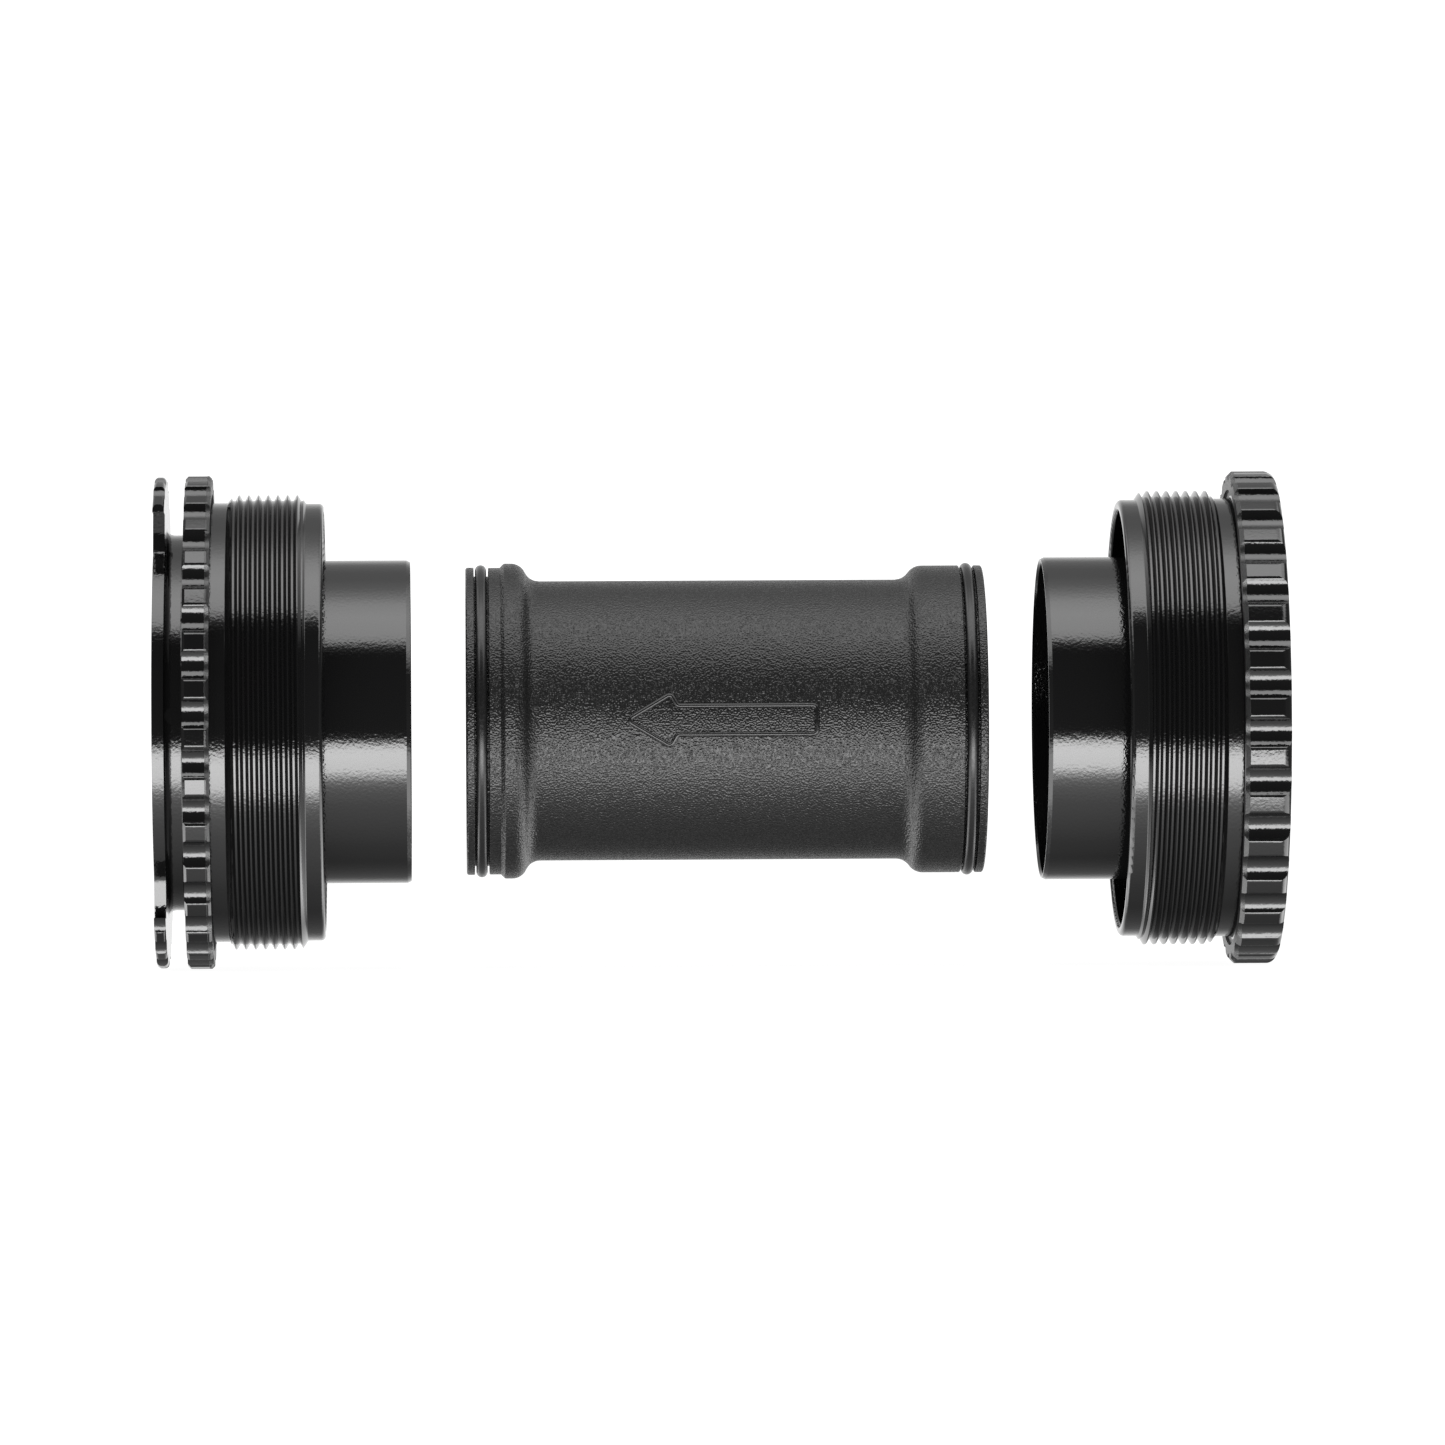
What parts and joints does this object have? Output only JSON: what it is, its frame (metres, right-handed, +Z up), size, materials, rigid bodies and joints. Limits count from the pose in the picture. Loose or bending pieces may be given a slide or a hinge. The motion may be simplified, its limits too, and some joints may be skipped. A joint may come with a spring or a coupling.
{
  "type": "bottom bracket",
  "caption": "Threaded bicycle bottom bracket laid out along its axis: two notched, threaded bearing cups and a waisted tubular centre sleeve with O-rings.",
  "frame": {"origin": "middle of the whole set as laid out, on the bearing axis", "axes": "+X along the bearing axis towards the drive side (left-hand thread) cup, +Z up, the arrow on the sleeve faces -Y"},
  "size_m": [0.116, 0.051, 0.051],
  "materials": {
    "black_anodised_aluminium": "bright black anodised, finely turned, glossy",
    "sleeve_plastic": "moulded black plastic with a fine grain",
    "o_ring_rubber": "smooth satin black rubber",
    "bearing_steel": "ground bearing steel",
    "ball_steel": "polished steel",
    "cage_nylon": "natural nylon",
    "seal_rubber": "moulded rubber on a steel washer",
    "bush_plastic": "glass-filled black nylon",
    "dust_seal_rubber": "moulded black rubber",
    "plug_black": "gloss black, flush"
  },
  "bodies": {
    "left_cup": {"left_cup": "black_anodised_aluminium", "left_bearing_outer_ring": "bearing_steel", "left_bearing_outboard_seal": "seal_rubber", "left_bearing_inboard_seal": "seal_rubber", "left_dust_seal": "dust_seal_rubber", "left_neck_plug": "plug_black"},
    "left_spindle_seat": {"left_bearing_inner_ring": "bearing_steel", "left_spindle_bush": "bush_plastic"},
    "left_ball_set": {"left_bearing_balls": "ball_steel", "left_bearing_cage": "cage_nylon"},
    "left_o_ring": {"left_sleeve_o_ring": "o_ring_rubber"},
    "centre_sleeve": {"centre_sleeve": "sleeve_plastic"},
    "right_o_ring": {"right_sleeve_o_ring": "o_ring_rubber"},
    "right_cup": {"right_cup": "black_anodised_aluminium", "right_bearing_outer_ring": "bearing_steel", "right_bearing_outboard_seal": "seal_rubber", "right_bearing_inboard_seal": "seal_rubber", "right_dust_seal": "dust_seal_rubber"},
    "right_spindle_seat": {"right_bearing_inner_ring": "bearing_steel", "right_spindle_bush": "bush_plastic"},
    "right_ball_set": {"right_bearing_balls": "ball_steel", "right_bearing_cage": "cage_nylon"}
  },
  "joints": [
    {"name": "left_sleeve_slide", "type": "slide", "parent": "left_cup", "child": "left_o_ring", "axis": [-1, 0, 0], "range_m": [0, 0.00924]},
    {"name": "centre_sleeve_turn", "type": "hinge", "parent": "left_o_ring", "child": "centre_sleeve", "pos_m": [0, 0, 0], "axis": [1, 0, 0], "continuous": true},
    {"name": "right_cup_turn", "type": "hinge", "parent": "centre_sleeve", "child": "right_o_ring", "pos_m": [0.02592, 0, 0], "axis": [1, 0, 0], "continuous": true},
    {"name": "right_cup_slide", "type": "slide", "parent": "right_o_ring", "child": "right_cup", "axis": [-1, 0, 0], "range_m": [0, 0.01036]},
    {"name": "left_spindle_spin", "type": "hinge", "parent": "left_cup", "child": "left_spindle_seat", "pos_m": [-0.05305, 0, 0], "axis": [1, 0, 0], "continuous": true},
    {"name": "left_ball_orbit", "type": "hinge", "parent": "left_cup", "child": "left_ball_set", "pos_m": [-0.05305, 0, 0], "axis": [1, 0, 0], "continuous": true},
    {"name": "right_spindle_spin", "type": "hinge", "parent": "right_cup", "child": "right_spindle_seat", "pos_m": [0.05295, 0, 0], "axis": [1, 0, 0], "continuous": true},
    {"name": "right_ball_orbit", "type": "hinge", "parent": "right_cup", "child": "right_ball_set", "pos_m": [0.05295, 0, 0], "axis": [1, 0, 0], "continuous": true}
  ],
  "couplings": [
    {"joint": "left_ball_orbit", "follows": "left_spindle_spin", "ratio": 0.4435},
    {"joint": "right_ball_orbit", "follows": "right_spindle_spin", "ratio": 0.4435}
  ]
}
